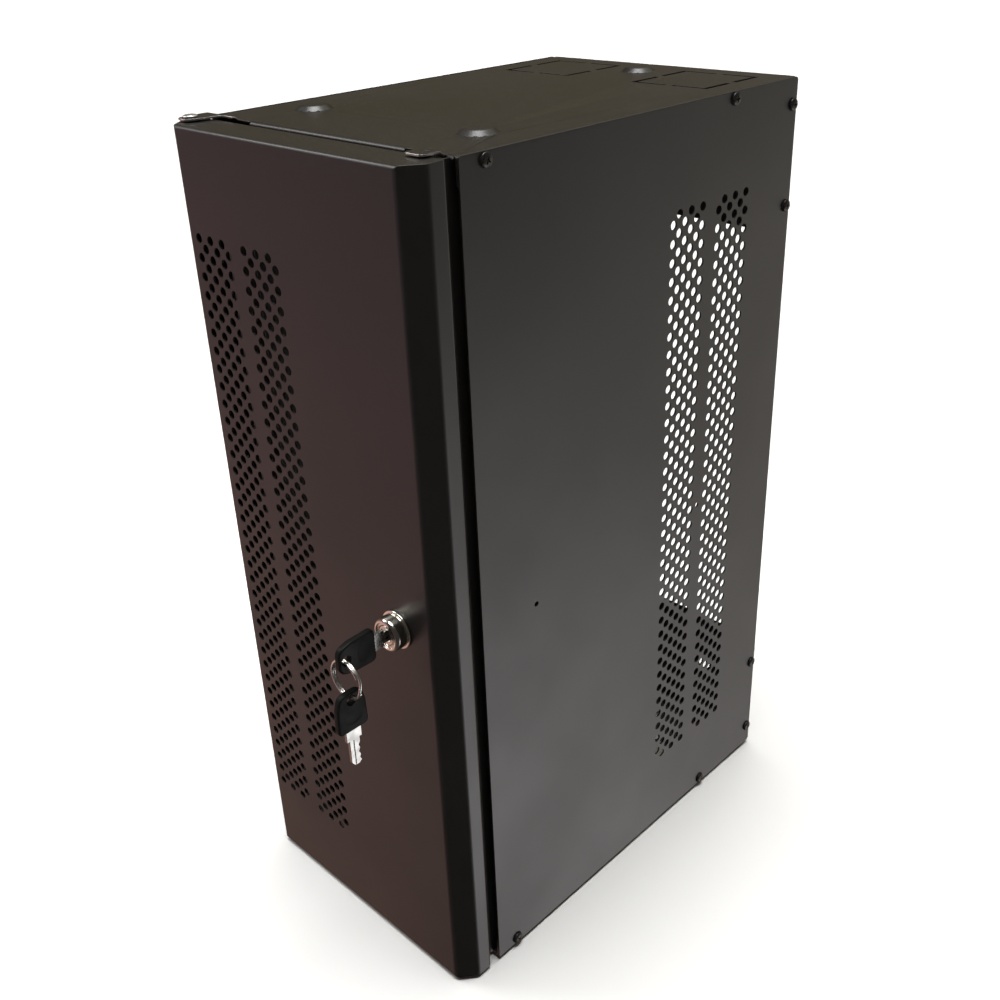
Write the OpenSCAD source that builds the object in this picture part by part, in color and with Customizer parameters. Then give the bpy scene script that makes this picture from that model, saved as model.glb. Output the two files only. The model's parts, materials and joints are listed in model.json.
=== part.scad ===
// Vertical 4U wall cabinet for 19-inch equipment. The equipment stands on edge: its 19-inch width runs up
// the cabinet, so the rack rails cross the top and bottom ends. Origin: centre of the four wall bolt holes,
// on the outside of the rear panel. +X is right as seen from the front, +Y points into the wall, +Z is up.

/* [Cabinet] */
// Width across the side covers
cabinet_w = 215; // [213:1:240]
// Height between the outer faces of the top and bottom panels
cabinet_h = 550; // [546:1:600]
// Depth from the door's face to the wall
cabinet_d = 341; // [320:1:420]
// Thickness of the sheet steel
sheet = 1.2; // [1:0.1:1.5]
// Outside radius of the folded edges
bend_r = 2.4; // [1.8:0.1:3]
// Width of the flanges that join the panels
flange_w = 15; // [13:1:18]
// Radius of the side covers' corners
cover_corner_r = 2.5; // [2:0.5:6]
// Distance from a panel's face to the side covers' edges
cover_drop = 0; // [0:0.5:3]

/* [Top and bottom panels] */
// Height of the round feet pressed into both panels
foot_rise = 3; // [2.6:0.1:4]
// Diameter of a foot where it leaves the panel
foot_d = 24; // [20:1:28]
// Width of a foot's sloping side
foot_slope = 3.6; // [3:0.1:5]
// Sideways distance of the two front feet from the middle
foot_x = 71; // [60:1:75]
// Distance of the front feet behind the door's face
foot_front = 82; // [78:1:95]
// Distance of the rear foot from the wall
foot_rear = 32; // [25:1:60]
// Side of the square knockouts for cables
knockout_w = 60; // [40:1:62]
// Distance of a knockout's middle from the middle of the panel
knockout_x = 57.5; // [52:0.5:60]
// Distance of a knockout's middle from the wall
knockout_rear = 45; // [45:1:80]
// Width of the slits that outline a knockout
slit_w = 3.5; // [1:0.5:4]
// Width of the tabs that hold a knockout in place
knockout_tab = 5; // [3:0.5:8]

/* [Rear panel] */
// Width of the cable window
window_w = 160; // [100:1:164]
// Height of the cable window
window_h = 340; // [200:1:380]
// Sideways spacing of the wall bolt holes
wall_bolt_x = 118; // [80:1:150]
// Vertical spacing of the wall bolt holes
wall_bolt_z = 434; // [410:1:460]
// Diameter of the wall bolt holes
wall_bolt_d = 12; // [8:1:14]

/* [Door] */
// Depth of the door tray
door_depth = 24.5; // [22:0.5:30]
// Gap between the door's edge and the body
door_gap = 8; // [7:0.5:12]
// Width of the door's corner chamfers, seen from the front
chamfer_x = 10; // [6:0.5:12]
// Depth of the door's corner chamfers
chamfer_y = 12.5; // [8:0.5:13]
// Width of the lip folded in along the door's lock side
lip_w = 8; // [5:0.5:8]
// Width of the lip folded in along the door's hinge side, which covers the gap behind the vents
hinge_lip_w = 12; // [8:0.5:13]
// Distance of the hinge axis from the cabinet's left side
hinge_x = 8; // [7.5:0.1:9]
// Distance of the hinge axis behind the door's face
hinge_y = 13.5; // [13:0.1:14]

/* [Vent holes] */
// Diameter of the vent holes
vent_d = 6; // [4:0.5:6.5]
// Step between neighbouring rows and columns
vent_step = 6; // [6:0.5:6]
// Number of rows in a strip
vent_rows = 71; // [31:2:75]
// Distance from the door's left edge to the first column of its outer strip
door_strip_a = 19.7; // [18:0.1:24]
// Distance from the door's left edge to the first column of its inner strip
door_strip_b = 66; // [66:0.1:70]
// Distance from the door's face to the first column of a cover's front strip
cover_strip_a = 209; // [150:0.5:212]
// Distance from the door's face to the first column of a cover's rear strip
cover_strip_b = 256.5; // [250:0.5:262]

/* [Lock] */
// Distance of the lock's axis from the cabinet's right side
lock_x = 39; // [36:0.1:42]
// Diameter of the flange that rests on the door
lock_flange_d = 25; // [23:0.5:26]
// Diameter of the lock's head
lock_head_d = 22; // [19:0.5:22.5]
// How far the head stands out of the door
lock_head_l = 10; // [8:0.5:12]
// Diameter of the threaded barrel
barrel_d = 18.8; // [16:0.1:19]
// Diameter of the plug that the key turns
plug_d = 12.6; // [11:0.1:13]
// Length of the cam from the lock's axis to its tip
cam_l = 27; // [24:1:28]

/* [Keys] */
// Width of a key's bow
bow_w = 22; // [20:1:24]
// Length of a key's bow
bow_l = 27; // [25:1:29]
// Width of a key's bow at its outer end
bow_end_w = 16; // [14:1:18]
// Thickness of a key's bow
bow_t = 4.6; // [4:0.1:5]
// Length of blade that shows between the lock and the bow
blade_gap = 8.5; // [8:0.5:10]
// Diameter of the hole for the key ring
bow_hole_d = 6; // [5.5:0.1:7]
// Distance of that hole from the bow's outer end
bow_hole_edge = 5.4; // [5:0.1:6]
// Mean radius of the key ring
ring_r = 12.4; // [10:0.1:13]
// Diameter of the key ring's wire
ring_wire = 1.6; // [1.2:0.1:1.7]

/* [Rack rails] */
// Height units that the rails take
rack_units = 4; // [4:1:4]
// Distance of the rails' front faces behind the door's face
rail_set_back = 91; // [80:1:130]
// Thickness of the rails and their supports
rail_t = 1.5; // [1.2:0.1:2]

/* [Hidden] */

$fn = 48;
overcut = 1;                            // how far a cutter reaches past the face it cuts
bend_steps = 5;                         // flats that make up one folded edge
steel_black = [0.13, 0.12, 0.12];
zinc = [0.62, 0.62, 0.6];
chrome = [0.8, 0.8, 0.82];

half_w = cabinet_w / 2;
half_h = cabinet_h / 2;
door_face_y = -cabinet_d;
door_back_y = door_face_y + door_depth;
body_front_y = door_back_y + door_gap - 0.1;
inner_x = half_w - sheet;               // inside faces of the side covers
inner_z = half_h - sheet;               // inside faces of the top and bottom panels

// Front posts: a Z-shaped section, set in from the covers
post_out_x = inner_x - 5.5;             // outside face of the post's web
post_front_y = body_front_y - 4;        // front face of the post's inner flange
post_flange = 10;                       // width of the front flange
post_depth = 17.4;                      // front to rear
post_rear_x = inner_x - sheet - 0.1;    // end of the rear flange, clear of the panels' side flanges

foot_rim = 1;                           // flat ring round a foot

// Ears that reach from the top and bottom panels over the door
ear_gap = 1;                            // space between the door and the ear
ear_rise = ear_gap + sheet;             // from the panel's face to the ear's
ear_slope = 3;                          // depth of the step up to the ear
ear_tip_r = 6.5;                        // round end of the hinge ear
ear_in = 30;                            // from the cabinet's side to the hinge ear's inner end
ear_knee = 19;                          // from the cabinet's side to the end of its tapering edge
front_flange_x = 68;                    // half-length of the flange between the ears
stop_ear_in = 23.5;                     // from the cabinet's side to the stop ear's inner end
stop_ear_out = 9.5;                     // from the cabinet's side to its outer end
stop_ear_reach = 15;                    // how far the stop ear reaches in front of the body
ear_corner_r = 3;
dimple_d = 7;                           // round dimple pressed into the stop ear
dimple_rise = 0.6;
dimple_back = 5.5;                      // from the body's front to the dimple's middle
corner_lip = [half_w - stop_ear_out + 0.8, inner_x - bend_r - 0.1];     // short fold beside the stop ear
foot_places = [[-foot_x, door_face_y + foot_front], [foot_x, door_face_y + foot_front], [0, -foot_rear]];

hinge_at = [-half_w + hinge_x, door_face_y + hinge_y];
hinge_pin_r = 2.5;
hinge_clearance = 0.06;                 // radial, between the pin and its bush
bush_r = 4;
bush_flange_r = 6;
bush_flange_t = ear_gap - 0.1;
bush_l = 8;
pin_l = 14;                             // from the ear's outside to the pin's tip
pin_head_r = 4.5;
pin_head_t = 1.9;

// Vent strips
vent_top = vent_step * (vent_rows - 1) / 2;
strip_columns = 6;

// Screws that hold the covers: M4, low round heads
cover_hole_r = 2.3;
screw_r = 2;
screw_hole_r = 2.06;
screw_head_r = 4.2;
screw_head_t = 2.3;
screw_l = 7;
edge_screw_z = half_h - 4.6;
edge_screw_ys = [door_face_y + 50.5, door_face_y + 268.7];
rear_screw_y = -4.8;
rear_screw_zs = [half_h - 84, half_h - 17.2];
cover_screws = concat(
    [for (y = edge_screw_ys, z = [-edge_screw_z, edge_screw_z]) [y, z]],
    [for (z = rear_screw_zs, side = [-1, 1]) [rear_screw_y, side * z]]);
cable_tie_holes = [door_face_y + 79, door_face_y + 247];
cable_tie_hole_d = 3.6;
cable_tie_z = -5;

// Rack rails, at the spacing that 19-inch equipment uses
unit_h = 44.45;
unit_holes = [6.35, 22.225, 38.1];
hole_row_z = 465.1 / 2;
rail_hole = 9.5;
rail_edge_z = 226;                      // the flange's edge next to the equipment
rail_top_z = 250;                       // the web's outside face
rail_half_l = 98;
rail_web = 30;
rail_front_y = door_face_y + rail_set_back;
rail_hole_xs = [for (u = [0 : rack_units - 1], h = unit_holes) (u - rack_units / 2) * unit_h + h];
support_x = 84;
support_half_w = 11;
support_flange = 7;
support_front_y = body_front_y + 22;
support_rear_y = -knockout_rear - knockout_w / 2 - 8;
bolt_r = 3;
bolt_hole_r = 3.1;
bolt_y = rail_front_y + 18;
slot_start_y = support_front_y + 12;
slot_end_y = support_rear_y - 15;
nut_flat = 10;                          // across flats, M6
nut_t = 5;

// Lock, centred on the door's height
lock_at = [half_w - lock_x, 0];
flange_t = 1.6;
barrel_back_y = post_front_y + sheet + 1.2;
cam_t = 2;
cam_w = 13;
cam_y = barrel_back_y + 0.2;
plug_clearance = 0.08;
plug_face_y = door_face_y - lock_head_l - 0.3;
lock_nut_flat = 24;
lock_nut_t = 4;
cam_screw_head_r = 4;
cam_screw_head_t = 2.4;

// Keys: the bow of the key in the lock is centred on the lock's axis, and its hole is on that axis
blade_w = 7.4;
blade_t = 2.1;
shoulder_w = 11;                        // the blade's wide end, partly inside the bow
shoulder_in = 3;                        // length of the shoulder inside the bow
shoulder_out = 7.5;                     // and outside it
bow_neck_w = 21;                        // width of the bow at the blade
bow_back_y = plug_face_y - blade_gap;
bow_hole_y = bow_back_y - bow_l + bow_hole_edge;
key_in = 22;                            // length of blade inside the plug
keyway_w = blade_w + 0.3;
keyway_t = blade_t + 0.3;
// The ring hangs below the middle of the hole that it passes through, and the spare key hangs from the ring
// in the same way
ring_drop = 1.6;
ring_centre = [lock_at[0], bow_hole_y, -ring_drop - ring_r];
spare_hole = ring_centre - [0, 0, ring_r + ring_drop];
spare_blade_l = 26.5;

earth_at = [60, -70];                   // on the bottom panel
earth_stud_r = 3;
earth_stud_l = 18;

function unit(v) = v / norm(v);
function turned(v, a) = [v[0] * cos(a) - v[1] * sin(a), v[0] * sin(a) + v[1] * cos(a)];

// The corner at b between a and c, as an arc of radius r
function corner(a, b, c, r) =
    let (u = unit(a - b), v = unit(c - b), half = acos(u * v) / 2)
    (r <= 0 || half > 89) ? [b] :
    let (centre = b + unit(u + v) * r / sin(half),
         start = b + u * r / tan(half) - centre,
         end = b + v * r / tan(half) - centre,
         sweep = (180 - 2 * half) * sign(cross(start, end)))
    [for (i = [0 : bend_steps]) centre + turned(start, sweep * i / bend_steps)];

// A closed outline with each corner rounded to its own radius
function rounded(points, radii) =
    let (n = len(points))
    [for (i = [0 : n - 1]) each corner(points[(i + n - 1) % n], points[i], points[(i + 1) % n], radii[i])];

function left_of(d) = [-d[1], d[0]];

// The point beside path[i], a distance t to the path's left
function beside(path, i, t) =
    let (n = len(path),
         before = i == 0 ? unit(path[1] - path[0]) : unit(path[i] - path[i - 1]),
         after = i == n - 1 ? before : unit(path[i + 1] - path[i]),
         normal = unit(left_of(before) + left_of(after)))
    path[i] + normal * t / (normal * left_of(before));

function turn_at(path, i) = cross(path[i] - path[i - 1], path[i + 1] - path[i]);

// Outline of a strip of sheet, t thick, folded along a path. The sheet lies to the path's left, or to its
// right where t is negative. The face on the outside of a bend has the larger radius.
function folded(path, t) =
    let (n = len(path),
         other = [for (i = [0 : n - 1]) beside(path, i, t)],
         inside_r = bend_r - abs(t))
    concat(
        [path[0]],
        [for (i = [1 : 1 : n - 2])
            each corner(path[i - 1], path[i], path[i + 1],
                turn_at(path, i) * t > 0 ? bend_r : inside_r)],
        [path[n - 1], other[n - 1]],
        [for (i = [n - 2 : -1 : 1])
            each corner(other[i + 1], other[i], other[i - 1], turn_at(path, i) * t > 0 ? inside_r : bend_r)],
        [other[0]]);

// Holds a shape drawn in the X-Y plane up in the X-Z plane, extruded from y0 to y1
module along_y(y0, y1) {
    translate([0, y1, 0])
        rotate([90, 0, 0])
            linear_extrude(y1 - y0)
                children();
}

// Holds a shape drawn in the X-Y plane in the Y-Z plane, extruded from x0 to x1
module along_x(x0, x1) {
    translate([x0, 0, 0])
        rotate([90, 0, 90])
            linear_extrude(x1 - x0)
                children();
}

module along_z(z0, z1) {
    translate([0, 0, z0])
        linear_extrude(z1 - z0)
            children();
}

module box(low, high) {
    translate(low)
        cube(high - low);
}

module rod_y(x, z, r, y0, y1) {
    translate([x, y1, z])
        rotate([90, 0, 0])
            cylinder(r = r, h = y1 - y0);
}

module rod_x(y, z, r, x0, x1) {
    translate([x0, y, z])
        rotate([0, 90, 0])
            cylinder(r = r, h = x1 - x0);
}

module rod_z(x, y, r, z0, z1) {
    translate([x, y, z0])
        cylinder(r = r, h = z1 - z0);
}

// A round-ended slot along Y
module slot(y0, y1, r) {
    translate([-r, y0])
        square([2 * r, y1 - y0]);
    for (y = [y0, y1])
        translate([0, y])
            circle(r = r);
}

// One strip of staggered vent holes. The first row uses every second column, starting at first_column.
module vent_strip(start, first_column) {
    for (row = [0 : vent_rows - 1], pair = [0 : strip_columns / 2 - 1])
        translate([start + vent_step * (2 * pair + (row + first_column) % 2), vent_top - vent_step * row])
            circle(d = vent_d, $fn = 24);
}

// A foot pressed out of the sheet, as a shell of even thickness
module foot_pressing() {
    base_r = foot_d / 2;
    top_r = base_r - foot_slope;
    wall = 0.8;                         // how much further in the inside of the slope is
    translate([0, 0, -sheet])
        rotate_extrude()
            polygon([[0, foot_rise], [0, foot_rise + sheet], [top_r, foot_rise + sheet], [base_r, sheet],
                [base_r + foot_rim, sheet], [base_r + foot_rim, 0], [base_r - wall, 0],
                [top_r - wall, foot_rise]]);
}

// Slits round a square knockout, broken by four tabs
module knockout_slits() {
    difference() {
        square(knockout_w, center = true);
        square(knockout_w - 2 * slit_w, center = true);
        square([knockout_tab, knockout_w + 2 * overcut], center = true);
        square([knockout_w + 2 * overcut, knockout_tab], center = true);
    }
}

// Seen from above: the ear that carries the hinge pin, tapering to a round end
module hinge_ear_outline() {
    root_y = body_front_y + overcut;
    knee_x = -half_w + ear_knee;        // where the tapering side meets the ear's wide root
    knee_y = body_front_y - ear_slope - 1;
    tip_y = hinge_at[1] - ear_tip_r;
    polygon(rounded([
        [-half_w + 1, root_y],
        [hinge_at[0] - ear_tip_r, tip_y],
        [hinge_at[0] + ear_tip_r - 1, tip_y],
        [knee_x, knee_y],
        [-half_w + ear_in, knee_y],
        [-half_w + ear_in, root_y]], [0, ear_tip_r - 1, ear_tip_r - 1, 4, 2, 0]));
}

// Seen from above: the short ear that keeps the lock side of the door from lifting
module stop_ear_outline() {
    front = body_front_y - stop_ear_reach;
    polygon(rounded([
        [half_w - stop_ear_in, body_front_y + overcut],
        [half_w - stop_ear_in, front],
        [half_w - stop_ear_out, front],
        [half_w - stop_ear_out, body_front_y + overcut]], [0, ear_corner_r, ear_corner_r, 0]));
}

// The step up from the panel's front edge to the level of the ears, and the ears' own level
module ear_level() {
    far = body_front_y - 40;
    along_x(-half_w, half_w)
        polygon([
            [body_front_y + 1.5 * overcut, half_h - sheet], [body_front_y + 1.5 * overcut, half_h],
            [body_front_y, half_h], [body_front_y - ear_slope, half_h + ear_rise], [far, half_h + ear_rise],
            [far, half_h + ear_gap], [body_front_y - ear_slope, half_h + ear_gap],
            [body_front_y, half_h - sheet]]);
}

// The panel's front edge folded down to a given level, between two places along X
module front_fold(ends, down_to) {
    along_x(ends[0], ends[1])
        polygon(folded([[body_front_y + bend_r, half_h], [body_front_y, half_h],
            [body_front_y, down_to]], sheet));
}

// Top panel, and turned over the bottom one: one sheet with folded flanges, pressed feet and cable knockouts
module end_panel() {
    fold_in = half_h - flange_w;
    difference() {
        union() {
            difference() {
                along_y(body_front_y, 0)
                    polygon(folded([[inner_x, fold_in], [inner_x, half_h], [-inner_x, half_h],
                        [-inner_x, fold_in]], sheet));
                for (fold = [[-front_flange_x, front_flange_x], corner_lip])
                    box([fold[0], body_front_y - overcut, fold_in],
                        [fold[1], body_front_y + bend_r, half_h + overcut]);
                for (side = [-1, 1])
                    translate([side * inner_x, 0, 0])
                        box([-2 * sheet, -flange_w - 1, fold_in - overcut],
                            [2 * sheet, overcut, inner_z - 0.01]);
            }
            front_fold([-front_flange_x, front_flange_x], fold_in);
            front_fold(corner_lip, half_h - bend_r);
            intersection() {
                ear_level();
                along_z(half_h - 2 * sheet, half_h + 2 * ear_rise) {
                    hinge_ear_outline();
                    stop_ear_outline();
                }
            }
        }
        for (side = [-1, 1])
            translate([side * knockout_x, -knockout_rear, 0])
                along_z(half_h - 2 * sheet, half_h + overcut)
                    knockout_slits();
        for (at = foot_places)
            rod_z(at[0], at[1], foot_d / 2 + foot_rim, half_h - 2 * sheet, half_h + overcut);
        rod_z(hinge_at[0], hinge_at[1], hinge_pin_r, half_h, half_h + 2 * ear_rise);
        // the corner lip is notched round the post's web
        box([post_out_x - sheet - 0.1, body_front_y - overcut, fold_in],
            [post_out_x + 0.1, body_front_y + bend_r, inner_z]);
        for (y = edge_screw_ys, side = [-1, 1])
            rod_x(y, edge_screw_z, screw_hole_r, side * inner_x - 2 * sheet, side * inner_x + 2 * sheet);
    }
    for (at = foot_places)
        translate([at[0], at[1], half_h])
            foot_pressing();
    dimple_x = half_w - (stop_ear_in + stop_ear_out) / 2;
    translate([dimple_x, body_front_y - dimple_back, half_h + ear_rise - 0.01])
        cylinder(d1 = dimple_d, d2 = dimple_d - 3, h = dimple_rise);
}

module top_panel() {
    color(steel_black)
        end_panel();
}

module bottom_panel() {
    color(steel_black)
        difference() {
            mirror([0, 0, 1])
                end_panel();
            rod_z(earth_at[0], earth_at[1], earth_stud_r, -half_h - overcut, -inner_z + overcut);
        }
}

// Rear panel: a tray that fits between the end panels and inside the covers
module rear_panel() {
    tray_x = inner_x;
    tray_z = inner_z;
    color(steel_black)
        difference() {
            union() {
                along_z(-tray_z, tray_z)
                    polygon(folded([[tray_x, -flange_w], [tray_x, 0], [-tray_x, 0],
                        [-tray_x, -flange_w]], sheet));
                for (side = [-1, 1])
                    scale([1, 1, side])
                        along_x(-tray_x + 6, tray_x - 6)
                            polygon(folded([[-flange_w, tray_z], [0, tray_z], [0, tray_z - bend_r]], -sheet));
            }
            along_y(-2 * sheet, overcut)
                polygon(rounded([for (c = [[-1, -1], [1, -1], [1, 1], [-1, 1]])
                    [c[0] * window_w / 2, c[1] * window_h / 2]], [6, 6, 6, 6]));
            for (x = [-1, 1] * wall_bolt_x / 2, z = [-1, 1] * wall_bolt_z / 2)
                rod_y(x, z, wall_bolt_d / 2, -2 * sheet, overcut);
            for (z = rear_screw_zs, up = [-1, 1], side = [-1, 1])
                rod_x(rear_screw_y, up * z, screw_hole_r, side * tray_x - 2 * sheet,
                    side * tray_x + 2 * sheet);
        }
}

// A flat side sheet with two strips of vents, its screw holes and two small tie holes
module side_cover() {
    top = half_h - cover_drop;
    along_x(inner_x, half_w)
        difference() {
            polygon(rounded([[body_front_y, -top], [0, -top], [0, top], [body_front_y, top]],
                [1, cover_corner_r, cover_corner_r, 1]));
            vent_strip(door_face_y + cover_strip_a, 1);
            vent_strip(door_face_y + cover_strip_b, 1);
            for (at = cover_screws)
                translate(at)
                    circle(r = cover_hole_r);
            for (y = cable_tie_holes)
                translate([y, cable_tie_z])
                    circle(d = cable_tie_hole_d);
        }
}

module right_cover() {
    color(steel_black)
        side_cover();
}

module left_cover() {
    color(steel_black)
        mirror([1, 0, 0])
            side_cover();
}

// Upright at the front: an inner flange that the door closes on, a web and an outer flange
module post() {
    web_in = post_out_x - sheet;
    color(steel_black)
        along_z(-inner_z, inner_z)
            polygon(folded([[web_in - post_flange + sheet, post_front_y], [post_out_x, post_front_y],
                [post_out_x, post_front_y + post_depth - sheet],
                [post_rear_x, post_front_y + post_depth - sheet]], sheet));
}

module right_post() {
    post();
}

module left_post() {
    mirror([1, 0, 0])
        post();
}

// A low round-headed screw pointing in -X, its head's underside at the origin
module cover_screw() {
    dome_r = 6.2;
    slot_l = 4;
    slot_w = 0.9;
    slot_depth = 1.2;
    rotate([0, 90, 0]) {
        difference() {
            intersection() {
                cylinder(r = screw_head_r, h = screw_head_t);
                translate([0, 0, screw_head_t - dome_r])
                    sphere(r = dome_r);
            }
            for (turn = [0, 90])
                rotate(turn)
                    translate([-slot_l / 2, -slot_w / 2, screw_head_t - slot_depth])
                        cube([slot_l, slot_w, slot_depth + overcut]);
        }
        translate([0, 0, -screw_l])
            cylinder(r = screw_r, h = screw_l + 0.01);
    }
}

module cover_screw_set() {
    color([0.09, 0.09, 0.09])
        for (at = cover_screws)
            translate([half_w, at[0], at[1]])
                cover_screw();
}

module right_cover_screws() {
    cover_screw_set();
}

module left_cover_screws() {
    mirror([1, 0, 0])
        cover_screw_set();
}

// Two hat-section brackets under an end panel. Long slots let the rails move forwards and back.
module rail_support_pair() {
    base_z = rail_top_z + rail_t;
    color(zinc)
        for (side = [-1, 1])
            translate([side * support_x, 0, 0])
                difference() {
                    along_y(support_front_y, support_rear_y)
                        polygon(folded([
                            [-support_half_w - support_flange, inner_z], [-support_half_w, inner_z],
                            [-support_half_w, base_z], [support_half_w, base_z],
                            [support_half_w, inner_z], [support_half_w + support_flange, inner_z]], -rail_t));
                    along_z(rail_top_z - overcut, base_z + overcut)
                        slot(slot_start_y, slot_end_y, bolt_hole_r + 0.2);
                }
}

module upper_rail_supports() {
    rail_support_pair();
}

module lower_rail_supports() {
    mirror([0, 0, 1])
        rail_support_pair();
}

// An angle with square holes at equipment spacing
module rack_rail() {
    color(zinc)
        difference() {
            along_x(-rail_half_l, rail_half_l)
                polygon(folded([[rail_front_y + rail_web, rail_top_z], [rail_front_y, rail_top_z],
                    [rail_front_y, rail_edge_z]], rail_t));
            for (x = rail_hole_xs)
                box([x - rail_hole / 2, rail_front_y - overcut, hole_row_z - rail_hole / 2],
                    [x + rail_hole / 2, rail_front_y + rail_t + overcut, hole_row_z + rail_hole / 2]);
            for (side = [-1, 1])
                rod_z(side * support_x, bolt_y, bolt_hole_r, rail_top_z - 2 * rail_t, rail_top_z + overcut);
        }
}

module upper_rack_rail() {
    rack_rail();
}

module lower_rack_rail() {
    mirror([0, 0, 1])
        rack_rail();
}

module for_each_rail_bolt() {
    for (up = [0, 1], side = [-1, 1])
        mirror([0, 0, up])
            translate([side * support_x, bolt_y, 0])
                children();
}

// Bolts up through the rails and the supports' slots
module rail_bolts() {
    head_r = 5.6;
    head_t = 3.2;
    color(zinc)
        for_each_rail_bolt() {
            rod_z(0, 0, bolt_r, rail_top_z - rail_t - 0.01, rail_top_z + rail_t + nut_t + 2);
            translate([0, 0, rail_top_z - rail_t - head_t])
                difference() {
                    cylinder(r1 = head_r - 1, r2 = head_r, h = head_t);
                    translate([0, 0, -overcut])
                        cylinder(r = 2.3, h = overcut + 1.8, $fn = 6);
                }
        }
}

module hex_nut(flat, bore_r, t) {
    difference() {
        cylinder(r = flat / sqrt(3), h = t, $fn = 6);
        translate([0, 0, -overcut])
            cylinder(r = bore_r, h = t + 2 * overcut);
    }
}

module rail_nuts() {
    color(zinc)
        for_each_rail_bolt()
            translate([0, 0, rail_top_z + rail_t])
                hex_nut(nut_flat, bolt_r, nut_t);
}

module earth_stud() {
    color(zinc) {
        rod_z(earth_at[0], earth_at[1], earth_stud_r, -half_h, -inner_z + earth_stud_l);
        rod_z(earth_at[0], earth_at[1], earth_stud_r + 1.5, -inner_z, -inner_z + 1);
    }
}

module earth_nut() {
    color(zinc)
        translate([earth_at[0], earth_at[1], -inner_z + 6]) {
            hex_nut(nut_flat, earth_stud_r, nut_t);
            translate([0, 0, -1.2])
                difference() {
                    cylinder(r = 6, h = 1.2);
                    translate([0, 0, -overcut])
                        cylinder(r = earth_stud_r, h = 1.2 + 2 * overcut);
                }
        }
}

// Upper pin: dropped in from above, with a flat head on the ear
module upper_hinge_pin() {
    out_z = half_h + ear_rise;
    color(zinc)
        translate([hinge_at[0], hinge_at[1], 0]) {
            rod_z(0, 0, hinge_pin_r, out_z - pin_l, out_z + 0.01);
            translate([0, 0, out_z])
                cylinder(r1 = pin_head_r, r2 = pin_head_r - 0.7, h = pin_head_t);
        }
}

// Lower pin: riveted flush with the ear, pointing up
module lower_hinge_pin() {
    out_z = -half_h - ear_rise;
    color(zinc)
        rod_z(hinge_at[0], hinge_at[1], hinge_pin_r, out_z, out_z + pin_l);
}

// Soft buffers on the lock-side post, which the door's lip closes against
module door_buffers() {
    base_r = 4.2;
    tip_r = 3.4;
    color([0.55, 0.55, 0.55])
        for (up = [-1, 1])
            translate([post_out_x - base_r - 1, post_front_y, up * (half_h - 17)])
                rotate([90, 0, 0])
                    cylinder(r1 = base_r, r2 = tip_r, h = post_front_y - door_back_y - 0.35);
}

// Seen from above: the door's outside, or with inset its inside
module door_plan(inset) {
    slope = norm([chamfer_x, chamfer_y]);
    // A slanted wall of the same thickness moves its corners along each face by this much
    face_shift = inset * (slope - chamfer_x) / chamfer_y;
    side_shift = inset * (slope - chamfer_y) / chamfer_x;
    back = door_back_y - inset;
    front_x = half_w - chamfer_x - face_shift;
    chamfer_end_y = door_face_y + chamfer_y + side_shift;
    r = bend_r - inset;
    polygon(rounded([
        [-front_x, door_face_y + inset], [front_x, door_face_y + inset],
        [half_w - inset, chamfer_end_y], [half_w - inset, back],
        [-half_w + inset, back], [-half_w + inset, chamfer_end_y]],
        [2 * r, 2 * r, 2 * r, r, r, 2 * r]));
}

// Seen from the side: rounds the door's top and bottom front edges
module door_side(inset) {
    r = bend_r - inset;
    back = door_back_y - inset;
    polygon(rounded([
        [door_face_y + inset, -half_h + inset], [back, -half_h + inset],
        [back, half_h - inset], [door_face_y + inset, half_h - inset]], [r, 0, 0, r]));
}

module door_block(inset) {
    intersection() {
        along_z(-half_h + inset, half_h - inset)
            door_plan(inset);
        along_x(-half_w, half_w)
            door_side(inset);
    }
}

// The door: a tray with chamfered sides, return lips, two vent strips and the lock's hole
module door() {
    color(steel_black)
        difference() {
            door_block(0);
            door_block(sheet);
            // the open back, between the lips and clear of the end flanges
            box([-half_w + hinge_lip_w, door_back_y - 2 * sheet, -half_h + sheet],
                [half_w - lip_w, door_back_y + overcut, half_h - sheet]);
            along_y(door_face_y - overcut, door_face_y + 2 * sheet) {
                vent_strip(-half_w + door_strip_a, 0);
                vent_strip(-half_w + door_strip_b, 0);
            }
            rod_y(lock_at[0], lock_at[1], barrel_d / 2 + 0.1, door_face_y - overcut, door_face_y + 2 * sheet);
            rod_z(hinge_at[0], hinge_at[1], bush_r, -half_h - overcut, half_h + overcut);
        }
}

// A hat-section stiffener spot-welded behind the door's face, between its vent strips. It lies a little
// nearer the hinges, so one foot shows through the last holes of the strip beside it.
module door_stiffener() {
    nearer_hinges = 2.1;
    middle = -half_w + (door_strip_a + (strip_columns - 1) * vent_step + door_strip_b) / 2 - nearer_hinges;
    inside = door_face_y + sheet;
    hat_w = 7.2;
    hat_h = 9;
    foot_end = 7.2;
    color(steel_black)
        translate([middle, 0, 0])
            along_z(-half_h + 16, half_h - 16)
                polygon(folded([[-foot_end, inside], [-hat_w / 2, inside], [-hat_w / 2, inside + hat_h],
                    [hat_w / 2, inside + hat_h], [hat_w / 2, inside], [foot_end, inside]], sheet));
}

// Flanged plastic bushes in the door's end flanges; their flanges carry the door
module hinge_bushes() {
    color([0.12, 0.12, 0.12])
        for (up = [0, 1])
            mirror([0, 0, up])
                translate([hinge_at[0], hinge_at[1], half_h])
                    difference() {
                        union() {
                            translate([0, 0, -bush_l])
                                cylinder(r = bush_r, h = bush_l + 0.01);
                            cylinder(r = bush_flange_r, h = bush_flange_t);
                        }
                        translate([0, 0, -bush_l - overcut])
                            cylinder(r = hinge_pin_r + hinge_clearance, h = bush_l + 3 * overcut);
                    }
}

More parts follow.
